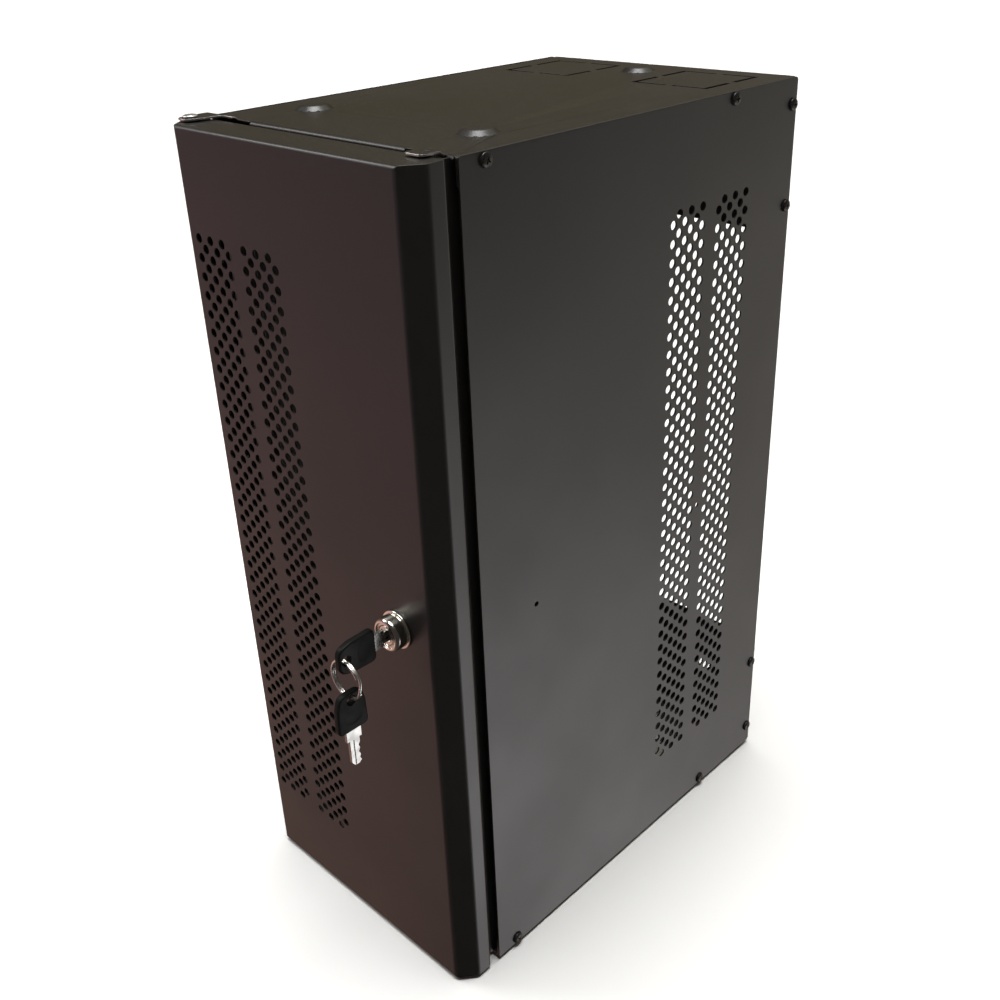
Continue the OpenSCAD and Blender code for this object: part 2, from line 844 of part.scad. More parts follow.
// Lock housing: flange, bevelled head and threaded barrel, bored for the plug
module lock_body() {
    bore_r = plug_d / 2 + plug_clearance;
    head_r = lock_head_d / 2;
    color(chrome)
        translate([lock_at[0], door_face_y, lock_at[1]])
            rotate([90, 0, 0])
                rotate_extrude()
                    polygon([
                        [bore_r, door_face_y - barrel_back_y], [barrel_d / 2, door_face_y - barrel_back_y],
                        [barrel_d / 2, 0], [lock_flange_d / 2, 0], [lock_flange_d / 2, flange_t - 0.5],
                        [lock_flange_d / 2 - 0.6, flange_t], [head_r + 0.2, flange_t],
                        [head_r, flange_t + 0.6], [head_r, lock_head_l - 2.2],
                        [head_r - 1.6, lock_head_l - 0.3], [head_r - 2.2, lock_head_l],
                        [bore_r + 0.6, lock_head_l], [bore_r, lock_head_l - 0.6]]);
}

module lock_nut() {
    color(zinc)
        translate([lock_at[0], door_face_y + sheet, lock_at[1]])
            rotate([-90, 0, 0])
                hex_nut(lock_nut_flat, barrel_d / 2, lock_nut_t);
}

// The plug turns in the housing. Its tail is square where the cam fits, and its keyway is upright.
module lock_plug() {
    tail = 7;
    color(chrome)
        difference() {
            union() {
                rod_y(lock_at[0], lock_at[1], plug_d / 2, plug_face_y, barrel_back_y + 0.1);
                translate([lock_at[0], 0, lock_at[1]])
                    box([-tail / 2, barrel_back_y, -tail / 2], [tail / 2, cam_y + cam_t - 0.2, tail / 2]);
            }
            translate([lock_at[0], 0, lock_at[1]])
                box([-keyway_t / 2, plug_face_y - overcut, -keyway_w / 2],
                    [keyway_t / 2, plug_face_y + key_in + 1, keyway_w / 2]);
            rod_y(lock_at[0], lock_at[1], 2, barrel_back_y - 6, cam_y + cam_t + overcut);
        }
}

// The cam points down while the lock is open, and turns behind the post to lock
module lock_cam() {
    hole = 7.1;
    end_r = 4;
    color(zinc)
        translate([lock_at[0], 0, lock_at[1]])
            difference() {
                along_y(cam_y, cam_y + cam_t)
                    polygon(rounded([[-cam_w / 2, cam_w / 2], [-cam_w / 2, -cam_l], [cam_w / 2, -cam_l],
                        [cam_w / 2, cam_w / 2]], [end_r, end_r, end_r, end_r]));
                box([-hole / 2, cam_y - overcut, -hole / 2], [hole / 2, cam_y + cam_t + overcut, hole / 2]);
            }
}

module cam_screw() {
    back = cam_y + cam_t;
    color(zinc)
        difference() {
            union() {
                rod_y(lock_at[0], lock_at[1], 1.95, back - 7, back + 0.01);
                rod_y(lock_at[0], lock_at[1], cam_screw_head_r + 0.8, back, back + 0.8);
                rod_y(lock_at[0], lock_at[1], cam_screw_head_r, back + 0.79, back + cam_screw_head_t);
            }
            translate([lock_at[0], 0, lock_at[1]])
                box([-cam_screw_head_r - 1, back + cam_screw_head_t - 1, -0.5],
                    [cam_screw_head_r + 1, back + cam_screw_head_t + overcut, 0.5]);
        }
}

// A key drawn in its own plane: the blade runs along +X from the bow's neck, the bow along -X. Each cut in
// the blade's edge is given by its distance from the tip and its depth.
module blade_outline(length) {
    w = blade_w / 2;
    tip_w = 1.5;
    cuts = [[1.6, 0], [4, 1.1], [6, 0.3], [8.5, 1.5], [11, 0.4], [13.5, 1.3], [15.5, 0]];
    polygon(concat(
        [[shoulder_out, -w], [length - 3, -w], [length, -tip_w], [length, tip_w]],
        [for (cut = cuts) [length - cut[0], w - cut[1]]],
        [[shoulder_out, w], [shoulder_out, shoulder_w / 2], [-shoulder_in, shoulder_w / 2],
            [-shoulder_in, -shoulder_w / 2], [shoulder_out, -shoulder_w / 2]]));
}

// Half of the bow's outline, from the neck to the outer end
bow_side = [[0, bow_neck_w / 2], [-4, bow_w / 2], [-0.65 * bow_l, bow_w / 2 - 0.5], [-bow_l, bow_end_w / 2]];
bow_radii = [3, 5, 8, 6];

module bow_outline() {
    polygon(rounded(
        concat([for (i = [0 : 3]) [bow_side[i][0], -bow_side[i][1]]], [for (i = [3 : -1 : 0]) bow_side[i]]),
        concat(bow_radii, [for (i = [3 : -1 : 0]) bow_radii[i]])));
}

module bow(thickness) {
    translate([0, 0, -thickness / 2])
        difference() {
            linear_extrude(thickness)
                bow_outline();
            translate([-bow_l + bow_hole_edge, 0, -overcut])
                cylinder(d = bow_hole_d, h = thickness + 2 * overcut);
            // the blade's shoulder is moulded into this slot
            translate([-shoulder_in, -shoulder_w / 2, (thickness - blade_t) / 2])
                cube([shoulder_in + overcut, shoulder_w, blade_t]);
        }
}

module blade(length) {
    translate([0, 0, -blade_t / 2])
        linear_extrude(blade_t)
            blade_outline(length);
}

// Stands the key's plane upright, with its blade pointing into the lock
module in_lock() {
    translate([lock_at[0], bow_back_y, lock_at[1]])
        rotate([0, 0, 90])
            rotate([90, 0, 0])
                children();
}

// Hangs a key from the bottom of the ring, with its blade pointing down
module on_ring() {
    translate([spare_hole[0], spare_hole[1], spare_hole[2] - bow_l + bow_hole_edge])
        rotate([0, 90, 0])
            children();
}

module key_blade() {
    color(chrome)
        in_lock()
            blade(blade_gap + key_in);
}

module key_bow() {
    color([0.05, 0.05, 0.05])
        in_lock()
            bow(bow_t);
}

module spare_key_blade() {
    color(chrome)
        on_ring()
            blade(spare_blade_l);
}

module spare_key_bow() {
    color([0.05, 0.05, 0.05])
        on_ring()
            bow(bow_t);
}

// Split ring: two turns of wire side by side, through the bows of both keys
module key_ring() {
    color(chrome)
        translate(ring_centre)
            rotate([90, 0, 0])
                rotate_extrude()
                    for (side = [-1, 1])
                        translate([ring_r, side * (ring_wire / 2 - 0.05)])
                            circle(d = ring_wire, $fn = 24);
}

top_panel();
bottom_panel();
rear_panel();
left_cover();
right_cover();
left_post();
right_post();
left_cover_screws();
right_cover_screws();
upper_rail_supports();
lower_rail_supports();
upper_rack_rail();
lower_rack_rail();
rail_bolts();
rail_nuts();
earth_stud();
earth_nut();
upper_hinge_pin();
lower_hinge_pin();
door_buffers();
door();
door_stiffener();
hinge_bushes();
lock_body();
lock_nut();
lock_plug();
lock_cam();
cam_screw();
key_blade();
key_bow();
key_ring();
spare_key_blade();
spare_key_bow();
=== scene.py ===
"""Looks of a vertical wall cabinet: finishes, rounded sheet edges, lock, keys, screws, light and camera.

Lengths are in metres, in the cabinet's own frame: the origin is the centre of the wall bolts, +X is right
as seen from the front, +Y points into the wall and +Z is up.
"""
import json
import math

import bmesh
import bpy
from mathutils import Matrix, Vector


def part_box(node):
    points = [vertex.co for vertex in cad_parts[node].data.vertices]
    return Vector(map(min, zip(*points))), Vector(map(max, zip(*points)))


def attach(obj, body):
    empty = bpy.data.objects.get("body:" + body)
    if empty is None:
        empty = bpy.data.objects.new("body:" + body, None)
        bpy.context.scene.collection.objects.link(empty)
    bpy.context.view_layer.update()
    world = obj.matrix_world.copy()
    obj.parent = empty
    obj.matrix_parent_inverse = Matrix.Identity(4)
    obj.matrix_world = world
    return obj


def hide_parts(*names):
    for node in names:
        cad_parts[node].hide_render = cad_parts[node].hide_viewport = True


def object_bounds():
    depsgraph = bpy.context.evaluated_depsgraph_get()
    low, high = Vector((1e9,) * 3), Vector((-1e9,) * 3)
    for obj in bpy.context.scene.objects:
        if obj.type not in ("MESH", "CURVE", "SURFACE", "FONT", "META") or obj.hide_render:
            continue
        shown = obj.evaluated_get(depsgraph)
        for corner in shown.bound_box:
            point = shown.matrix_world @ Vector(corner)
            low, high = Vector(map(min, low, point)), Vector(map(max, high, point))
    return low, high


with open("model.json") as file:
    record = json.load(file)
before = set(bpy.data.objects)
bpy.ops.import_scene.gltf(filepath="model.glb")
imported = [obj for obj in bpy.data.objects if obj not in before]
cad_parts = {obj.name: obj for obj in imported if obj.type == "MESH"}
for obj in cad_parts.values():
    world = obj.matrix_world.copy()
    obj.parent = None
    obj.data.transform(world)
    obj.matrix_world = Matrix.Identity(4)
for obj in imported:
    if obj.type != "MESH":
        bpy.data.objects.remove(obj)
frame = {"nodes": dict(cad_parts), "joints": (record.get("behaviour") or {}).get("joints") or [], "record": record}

MM = 0.001
cad_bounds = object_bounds()
NODES = frame["nodes"]
BODY_OF = {node: body for body, nodes in frame["record"]["behaviour"]["bodies"].items() for node in nodes}
SLOT_OF = {part["node"]: part["material_slot"] for part in frame["record"]["subparts"]}
JOINT_AT = {joint["name"]: Vector(joint["pos_m"]) for joint in frame["joints"]}

# Sheet steel
MERGE = 1e-6                            # vertices closer than this are one
PAINT_RADIUS = 0.22 * MM                # rounding that the paint leaves on a cut edge
SHARP = math.radians(40)                # edges sharper than this are rounded
CREASE = math.radians(50)               # edges sharper than this stay creased in the shading
FOOT_RADIUS = 1.1 * MM                  # rounding of the folds round a pressed foot
FOOT_FOLD_MIN = math.radians(36)        # a foot's folds turn by an angle between these two
FOOT_FOLD_MAX = math.radians(43)
VENTED = ("door", "left_cover", "right_cover")
VENT_STEP_MAX = 0.85 * MM               # longest straight bit of a vent hole's rim
VENT_REACH = 214 * MM                   # the vents lie within this height of the middle

PLAIN_PARTS = (
    "door", "left_cover", "right_cover", "rear_panel", "left_post", "right_post", "door_stiffener",
    "upper_rail_supports", "lower_rail_supports", "upper_rack_rail", "lower_rack_rail", "lock_cam",
    "lock_nut", "rail_nuts", "earth_nut", "cam_screw", "hinge_bushes", "earth_stud", "rail_bolts",
    "lower_hinge_pin")

# Lock, measured outwards from the door's face
LOCK_AXIS = JOINT_AT["lock_turn"]
DOOR_FACE_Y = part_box("door")[0].y
LOCK_BACK = DOOR_FACE_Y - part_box("lock_body")[1].y
PLUG_R = 6.3 * MM
PLUG_STEM_R = 3.4 * MM
KEYWAY = (2.5 * MM, 7.8 * MM)           # width and height of the slot for the key
HOUSING_PROFILE_MM = (                  # radius and height; None is the housing's back
    (6.4, None), (9.2, None), (9.4, 0), (12.2, 0), (12.5, 0.3), (12.5, 1.1), (12.35, 1.45), (12.0, 1.6),
    (11.3, 1.6), (11.0, 1.7), (10.9, 2.0), (11.0, 2.3), (11.0, 7.4), (10.85, 8.1), (10.5, 8.9), (10.0, 9.55),
    (9.5, 9.9), (9.0, 10.0), (8.6, 10.0), (8.3, 9.85), (8.15, 9.5), (8.0, 9.1), (7.6, 9.0), (7.3, 9.15),
    (7.0, 9.3), (6.7, 9.2), (6.5, 8.9))
PLUG_PROFILE_MM = (
    (0, 9.2), (4.6, 9.2), (4.75, 9.05), (4.9, 9.05), (5.05, 9.2), (5.9, 9.2), (6.2, 9.0), (6.3, 8.6))

# Keys
BLADE_W = 7.4 * MM
BLADE_T = 2.1 * MM
SHOULDER_W = 11 * MM
SHOULDER_IN = 3 * MM
SHOULDER_OUT = 7.5 * MM
BOW_L = 27 * MM
BOW_T = 4.6 * MM
BOW_HOLE_R = 3 * MM
BOW_HOLE_EDGE = 5.4 * MM
BOW_EDGE_R = 1.3 * MM
BOW_SIDE_MM = [(0, 10.5), (-4, 11), (-17.55, 10.5), (-27, 8)]   # half of the outline, from the neck
BOW_CORNER_MM = [3, 5, 8, 6]            # radii of its corners
DISH_DEPTH = 0.35 * MM
DISH_AT = -9.2 * MM
BLADE_CUTS_MM = [(1.6, 0), (4, 1.1), (6, 0.3), (8.5, 1.5), (11, 0.4), (13.5, 1.3), (15.5, 0)]
GROOVE_DEPTH = 0.5 * MM
GROOVE_W = 1.2 * MM
RING_WIRE_R = 0.8 * MM

# Cover screws
SCREW_HEAD_R = 4.2 * MM
SCREW_HEAD_T = 2.3 * MM
SCREW_R = 2 * MM
SCREW_L = 7 * MM
RECESS_REACH = 2.1 * MM                 # from the middle to the end of one arm of the cross
RECESS_HALF_W = 0.42 * MM
RECESS_FLOOR = 1 * MM

# The room's own dim light, and its patches: direction, tint, strength and sharpness
ROOM_COLOUR = (0.035, 0.030, 0.028)
ROOM_LIGHTS = (
    ((0.68, 0.46, -0.67), (1.0, 0.98, 0.99), 4.0, 36),
    ((0.36, 0.90, -0.30), (1.0, 0.95, 0.88), 0.95, 16),
    ((-0.80, -0.36, -0.60), (1.0, 0.60, 0.42), 0.55, 7),
    ((-0.62, -0.66, -0.20), (0.92, 0.56, 0.95), 0.24, 8),
    ((-0.60, 0.65, 0.36), (1.0, 0.80, 0.22), 0.09, 4),
    ((0.05, 0.62, 0.78), (1.0, 0.95, 0.80), 1.5, 24),
    ((-0.30, 0.78, -0.55), (1.0, 0.62, 0.30), 0.9, 12),
)
FLOOR_HALF = 12                         # half the floor's side


# ---------------------------------------------------------------- camera, light and floor

def add_camera():
    """Looks at the cabinet from its front right and a little above it."""
    data = bpy.data.cameras.new("camera")
    data.sensor_width = 36
    data.lens = 40.86
    data.shift_x = -0.0048
    data.shift_y = -0.0385
    heading = math.radians(45.06)       # from +Y towards -X
    pitch = math.radians(-26.37)
    roll = math.radians(-2.20)
    camera = bpy.data.objects.new("camera", data)
    turn = Matrix.Rotation(heading, 4, "Z") @ Matrix.Rotation(math.pi / 2 + pitch, 4, "X")
    place = Matrix.Translation((0.51248, -0.68906, 0.38562))
    camera.matrix_world = place @ turn @ Matrix.Rotation(roll, 4, "Z")
    bpy.context.scene.collection.objects.link(camera)
    bpy.context.scene.camera = camera


def add_softbox(name, towards, distance, size, power, colour):
    """A square area light in a given direction from the cabinet's middle, shining back at it."""
    data = bpy.data.lights.new(name, "AREA")
    data.shape = "SQUARE"
    data.size = size
    data.energy = power
    data.color = colour
    light = bpy.data.objects.new(name, data)
    middle = (cad_bounds[0] + cad_bounds[1]) / 2
    direction = Vector(towards).normalized()
    light.location = middle + direction * distance
    light.rotation_euler = direction.to_track_quat("Z", "Y").to_euler()
    bpy.context.scene.collection.objects.link(light)


def add_ceiling():
    """Wide even light from straight above, which keeps the floor pale out to its far edge."""
    data = bpy.data.lights.new("ceiling", "SUN")
    data.energy = 4.2
    data.angle = math.radians(36)
    ceiling = bpy.data.objects.new("ceiling", data)
    bpy.context.scene.collection.objects.link(ceiling)


def add_lobe(tree, before, direction, colour, strength, sharpness):
    """Adds one soft patch of light to the colour that comes before it in the world's nodes."""
    ray = tree.nodes.new("ShaderNodeTexCoord").outputs["Generated"]
    facing = tree.nodes.new("ShaderNodeVectorMath")
    facing.operation = "DOT_PRODUCT"
    facing.inputs[1].default_value = Vector(direction).normalized()
    tree.links.new(ray, facing.inputs[0])
    falloff = tree.nodes.new("ShaderNodeMath")
    falloff.operation = "MULTIPLY_ADD"
    falloff.inputs[1].default_value = sharpness
    falloff.inputs[2].default_value = -sharpness
    tree.links.new(facing.outputs["Value"], falloff.inputs[0])
    patch = tree.nodes.new("ShaderNodeMath")
    patch.operation = "EXPONENT"
    tree.links.new(falloff.outputs[0], patch.inputs[0])
    tinted = tree.nodes.new("ShaderNodeVectorMath")
    tinted.operation = "MULTIPLY_ADD"
    tinted.inputs[1].default_value = Vector(colour) * strength
    tree.links.new(patch.outputs[0], tinted.inputs[0])
    tree.links.new(before, tinted.inputs[2])
    return tinted.outputs[0]


def add_world():
    """A dim room with a few wide soft patches of light, and plain white behind the cabinet."""
    world = bpy.data.worlds.new("studio")
    world.use_nodes = True
    bpy.context.scene.world = world
    tree = world.node_tree
    room = tree.nodes["Background"]
    ambient = tree.nodes.new("ShaderNodeCombineXYZ")
    for i, value in enumerate(ROOM_COLOUR):
        ambient.inputs[i].default_value = value
    colour = ambient.outputs[0]
    for direction, tint, strength, sharpness in ROOM_LIGHTS:
        colour = add_lobe(tree, colour, direction, tint, strength, sharpness)
    tree.links.new(colour, room.inputs["Color"])
    behind = tree.nodes.new("ShaderNodeBackground")
    behind.inputs["Color"].default_value = (1, 1, 1, 1)
    chooser = tree.nodes.new("ShaderNodeMixShader")
    path = tree.nodes.new("ShaderNodeLightPath")
    tree.links.new(path.outputs["Is Camera Ray"], chooser.inputs[0])
    tree.links.new(room.outputs[0], chooser.inputs[1])
    tree.links.new(behind.outputs[0], chooser.inputs[2])
    tree.links.new(chooser.outputs[0], tree.nodes["World Output"].inputs["Surface"])


def add_floor():
    """A plain pale floor at the level of the feet."""
    half = FLOOR_HALF
    level = cad_bounds[0].z
    mesh = bpy.data.meshes.new("floor")
    corners = [(-half, -half, level), (half, -half, level), (half, half, level), (-half, half, level)]
    mesh.from_pydata(corners, [], [(0, 1, 2, 3)])
    floor = bpy.data.objects.new("floor", mesh)
    bpy.context.scene.collection.objects.link(floor)
    finish = Finish("floor_paint", {"Roughness": 0.85})
    finish.link("Base Color", finish.blend(finish.noise(3, 2), (0.80, 0.80, 0.79), (0.83, 0.83, 0.82)))
    mesh.materials.append(finish.material)
    floor.visible_glossy = False        # the satin steel mirrors the room's light, not the floor


# ---------------------------------------------------------------- finishes

class Finish:
    """A material that is being built round its Principled shader."""

    def __init__(self, name, constants):
        self.material = bpy.data.materials.new(name)
        self.material.use_nodes = True
        self.tree = self.material.node_tree
        self.shader = self.tree.nodes["Principled BSDF"]
        self.coordinates = self.tree.nodes.new("ShaderNodeTexCoord").outputs["Object"]
        for socket, value in constants.items():
            self.shader.inputs[socket].default_value = value

    def add(self, kind, **settings):
        node = self.tree.nodes.new(kind)
        for name, value in settings.items():
            setattr(node, name, value)
        return node

    def link(self, socket, output):
        self.tree.links.new(output, self.shader.inputs[socket])

    def noise(self, scale, detail=2.0, stretch=None):
        """Noise of that many waves a metre, 0 to 1. stretch squeezes it along each axis."""
        node = self.add("ShaderNodeTexNoise")
        node.inputs["Scale"].default_value = scale
        node.inputs["Detail"].default_value = detail
        source = self.coordinates
        if stretch:
            mapping = self.add("ShaderNodeMapping")
            mapping.inputs["Scale"].default_value = stretch
            self.tree.links.new(source, mapping.inputs["Vector"])
            source = mapping.outputs[0]
        self.tree.links.new(source, node.inputs["Vector"])
        return node.outputs["Fac"]

    def ranged(self, value, low, high, new_low, new_high):
        """Takes low..high to new_low..new_high, and stops at its ends."""
        node = self.add("ShaderNodeMapRange", clamp=True)
        for i, number in enumerate((low, high, new_low, new_high)):
            node.inputs[i + 1].default_value = number
        self.tree.links.new(value, node.inputs[0])
        return node.outputs[0]

    def blend(self, factor, colour_a, colour_b):
        """The colour between two others; either may be a colour or another node's output."""
        node = self.add("ShaderNodeMix", data_type="RGBA")
        self.tree.links.new(factor, node.inputs["Factor"])
        for socket, colour in ((node.inputs[6], colour_a), (node.inputs[7], colour_b)):
            if isinstance(colour, tuple):
                socket.default_value = (*colour, 1)
            else:
                self.tree.links.new(colour, socket)
        return node.outputs[2]

    def product(self, a, b):
        node = self.add("ShaderNodeMath", operation="MULTIPLY")
        self.tree.links.new(a, node.inputs[0])
        self.tree.links.new(b, node.inputs[1])
        return node.outputs[0]

    def bump(self, heights):
        """Chains bumps, each given as its height output and its real depth in metres."""
        normal = None
        for height, depth in heights:
            node = self.add("ShaderNodeBump")
            node.inputs["Strength"].default_value = 1
            node.inputs["Distance"].default_value = depth
            self.tree.links.new(height, node.inputs["Height"])
            if normal:
                self.tree.links.new(normal, node.inputs["Normal"])
            normal = node.outputs[0]
        self.link("Normal", normal)


def powder_coat():
    """Satin black powder coat: a fine grainy orange peel, and a little dust on what faces up."""
    finish = Finish("powder_coat", {"IOR": 1.5, "Specular IOR Level": 0.55})
    slow = finish.noise(9, 3)
    grain = finish.noise(2600, 2)
    peel = finish.noise(700, 2)
    paint = finish.blend(slow, (0.0080, 0.0070, 0.0062), (0.0115, 0.0100, 0.0090))
    facing = finish.add("ShaderNodeSeparateXYZ")
    finish.tree.links.new(finish.add("ShaderNodeNewGeometry").outputs["Normal"], facing.inputs[0])
    upward = finish.ranged(facing.outputs["Z"], 0.8, 1.0, 0, 1)
    specks = finish.ranged(finish.noise(1500, 1), 0.66, 0.72, 0, 0.22)
    dust = finish.product(upward, specks)
    finish.link("Base Color", finish.blend(dust, paint, (0.30, 0.27, 0.22)))
    finish.link("Roughness", finish.ranged(slow, 0.3, 0.7, 0.36, 0.44))
    finish.bump([(peel, 0.012 * MM), (grain, 0.010 * MM)])
    return finish.material


def bare_edge():
    """Steel that shows where the paint has worn off an edge."""
    finish = Finish("bare_edge", {"Metallic": 1.0})
    wear = finish.noise(420, 3)
    finish.link("Base Color", finish.blend(wear, (0.50, 0.47, 0.45), (0.72, 0.69, 0.66)))
    finish.link("Roughness", finish.ranged(wear, 0.3, 0.7, 0.30, 0.45))
    finish.bump([(finish.noise(1800, 2), 0.01 * MM)])
    return finish.material


def zinc_plate():
    """Bright zinc with a faint cloudiness and fine rolling marks."""
    finish = Finish("zinc_plate", {"Metallic": 1.0})
    cloud = finish.noise(60, 3)
    marks = finish.noise(900, 2, stretch=(0.06, 1, 1))
    finish.link("Base Color", finish.blend(cloud, (0.52, 0.53, 0.54), (0.64, 0.64, 0.63)))
    finish.link("Roughness", finish.ranged(cloud, 0.3, 0.7, 0.26, 0.40))
    finish.bump([(marks, 0.006 * MM)])
    return finish.material


def chrome_plate():
    """Polished chrome with light handling marks."""
    finish = Finish("chrome_plate", {"Metallic": 1.0})
    smear = finish.noise(180, 3)
    finish.link("Base Color", finish.blend(smear, (0.78, 0.75, 0.64), (0.86, 0.84, 0.76)))
    finish.link("Roughness", finish.ranged(smear, 0.35, 0.7, 0.12, 0.22))
    finish.bump([(finish.noise(1200, 2), 0.0012 * MM)])
    return finish.material


def nickel_plate():
    """Bright nickel, scratched along its length by use."""
    finish = Finish("nickel_plate", {"Metallic": 1.0})
    scratches = finish.noise(2400, 2, stretch=(1, 0.07, 0.07))
    tone = finish.noise(250, 2)
    finish.link("Base Color", finish.blend(tone, (0.22, 0.22, 0.21), (0.30, 0.30, 0.29)))
    finish.link("Roughness", finish.ranged(scratches, 0.35, 0.65, 0.16, 0.30))
    finish.bump([(scratches, 0.004 * MM)])
    return finish.material


def ring_steel():
    """Bright spring steel wire, drawn lengthwise and dulled by handling."""
    finish = Finish("ring_steel", {"Metallic": 1.0})
    smear = finish.noise(350, 3)
    finish.link("Base Color", finish.blend(smear, (0.84, 0.83, 0.77), (0.94, 0.93, 0.89)))
    finish.link("Roughness", finish.ranged(smear, 0.3, 0.7, 0.24, 0.36))
    finish.bump([(finish.noise(2400, 2), 0.002 * MM)])
    return finish.material


def black_screws():
    """Black oxide with a slight oily gloss."""
    finish = Finish("black_screws", {"Metallic": 0.6})
    tone = finish.noise(500, 2)
    finish.link("Base Color", finish.blend(tone, (0.016, 0.015, 0.015), (0.040, 0.038, 0.036)))
    finish.link("Roughness", finish.ranged(tone, 0.3, 0.7, 0.26, 0.38))
    finish.bump([(finish.noise(2600, 2), 0.006 * MM)])
    return finish.material


def key_plastic():
    """Black moulded plastic with a fine spark-eroded grain."""
    finish = Finish("key_plastic", {"IOR": 1.49, "Specular IOR Level": 0.10})
    tone = finish.noise(90, 2)
    finish.link("Base Color", finish.blend(tone, (0.0045, 0.0047, 0.0045), (0.0075, 0.0075, 0.0072)))
    finish.link("Roughness", finish.ranged(tone, 0.3, 0.7, 0.42, 0.54))
    finish.bump([(finish.noise(3400, 2), 0.008 * MM)])
    return finish.material


def nylon():
    """Black nylon with a matt moulded skin."""
    finish = Finish("nylon", {"IOR": 1.53})
    tone = finish.noise(120, 2)
    finish.link("Base Color", finish.blend(tone, (0.020, 0.020, 0.020), (0.034, 0.034, 0.033)))
    finish.link("Roughness", finish.ranged(tone, 0.3, 0.7, 0.48, 0.60))
    finish.bump([(finish.noise(2600, 2), 0.006 * MM)])
    return finish.material


def buffer_rubber():
    """Soft grey rubber, slightly dusty."""
    finish = Finish("buffer_rubber", {"IOR": 1.5, "Subsurface Weight": 0.15, "Subsurface Scale": 0.001})
    tone = finish.noise(300, 3)
    finish.link("Base Color", finish.blend(tone, (0.38, 0.38, 0.37), (0.50, 0.50, 0.48)))
    finish.link("Roughness", finish.ranged(tone, 0.3, 0.7, 0.45, 0.62))
    finish.bump([(finish.noise(1500, 2), 0.01 * MM)])
    return finish.material


FINISHES = {
    make.__name__: make()
    for make in (powder_coat, bare_edge, zinc_plate, chrome_plate, nickel_plate, ring_steel, black_screws,
                 key_plastic, nylon, buffer_rubber)
}


# ---------------------------------------------------------------- mesh helpers

def shaded(work, name):
    """Ends a bmesh: a smooth-shaded mesh whose flat faces stay flat and whose creases stay sharp."""
    bmesh.ops.recalc_face_normals(work, faces=work.faces)
    for face in work.faces:
        face.smooth = True
    for edge in work.edges:
        edge.smooth = len(edge.link_faces) == 2 and edge.calc_face_angle() < CREASE
    mesh = bpy.data.meshes.new(name)
    work.to_mesh(mesh)
    work.free()
    return mesh


def stand_in(mesh, *nodes):
    """Shows a mesh in place of CAD nodes, on their body and in their finish."""
    piece = bpy.data.objects.new(mesh.name, mesh)
    bpy.context.scene.collection.objects.link(piece)
    slot = SLOT_OF[nodes[0]]
    if not mesh.materials:
        mesh.materials.append(FINISHES[slot])
    evened = piece.modifiers.new("even_normals", "WEIGHTED_NORMAL")
    evened.keep_sharp = True
    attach(piece, BODY_OF[nodes[0]])
    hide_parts(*nodes)
    return piece


def corner_arc(before, at, after, radius, steps):
    """The corner at a point between its neighbours, as an arc of that radius."""
    u = (before - at).normalized()
    v = (after - at).normalized()
    half = u.angle(v) / 2
    if radius <= 0 or half > math.radians(89):
        return [at]
    centre = at + (u + v).normalized() * (radius / math.sin(half))
    start = at + u * (radius / math.tan(half)) - centre
    end = at + v * (radius / math.tan(half)) - centre
    sweep = (math.pi - 2 * half) * math.copysign(1, start.cross(end))
    turned = (Matrix.Rotation(sweep * i / steps, 2) for i in range(steps + 1))
    return [centre + turn @ start for turn in turned]


def rounded(points, radii, steps=6):
    """A closed outline with each corner rounded to its own radius."""
    count = len(points)
    return [p for i in range(count)
            for p in corner_arc(points[i - 1], points[i], points[(i + 1) % count], radii[i], steps)]


def inset(outline, distance):
    """The outline moved inwards by a distance. The outline runs anticlockwise."""
    moved = []
    for i, point in enumerate(outline):
        before = (point - outline[i - 1]).normalized()
        after = (outline[(i + 1) % len(outline)] - point).normalized()
        inward = Vector((-before.y - after.y, before.x + after.x)).normalized()
        moved.append(point + inward * (distance / max(0.3, inward.dot(Vector((-after.y, after.x))))))
    return moved


def stacked(work, layers):
    """Joins a stack of outlines, each given with its height, into a solid."""
    rings = [[work.verts.new((p.x, p.y, height)) for p in outline] for outline, height in layers]
    for low, high in zip(rings, rings[1:]):
        for i in range(len(low)):
            work.faces.new((low[i - 1], low[i], high[i], high[i - 1]))
    work.faces.new(reversed(rings[0]))
    work.faces.new(rings[-1])


def soft_slab(outline, thickness, edge_radius, steps=4):
    """A flat part cut to an outline, with its edges rounded on both faces."""
    work = bmesh.new()
    angles = [math.pi / 2 * i / steps for i in range(steps + 1)]
    curve = [(edge_radius * (1 - math.cos(a)), edge_radius * (1 - math.sin(a))) for a in angles]
    lower = [(inset(outline, inward), -thickness / 2 + down) for down, inward in curve]
    upper = [(layer, -height) for layer, height in reversed(lower)]
    stacked(work, lower + upper)
    return work


def lathe(work, profile, place, steps=64):
    """Turns a profile of (radius, height) points round the local Z axis. A radius of 0 closes it."""
    rings = []
    for radius, height in profile:
        if radius == 0:
            rings.append([work.verts.new(place @ Vector((0, 0, height)))])
        else:
            angles = (2 * math.pi * i / steps for i in range(steps))
            circle = (Vector((radius * math.cos(a), radius * math.sin(a), height)) for a in angles)
            rings.append([work.verts.new(place @ point) for point in circle])
    for low, high in zip(rings, rings[1:]):
        for i in range(steps):
            if len(low) == 1:
                corners = (low[0], high[i], high[i - 1])
            elif len(high) == 1:
                corners = (low[i - 1], low[i], high[0])
            else:
                corners = (low[i - 1], low[i], high[i], high[i - 1])
            work.faces.new(corners)
    return rings


def tube_ends_joined(work, rings):
    """Closes a turned ring of sheet by joining its last circle to its first."""
    low, high = rings[-1], rings[0]
    for i in range(len(low)):
        work.faces.new((low[i - 1], low[i], high[i], high[i - 1]))


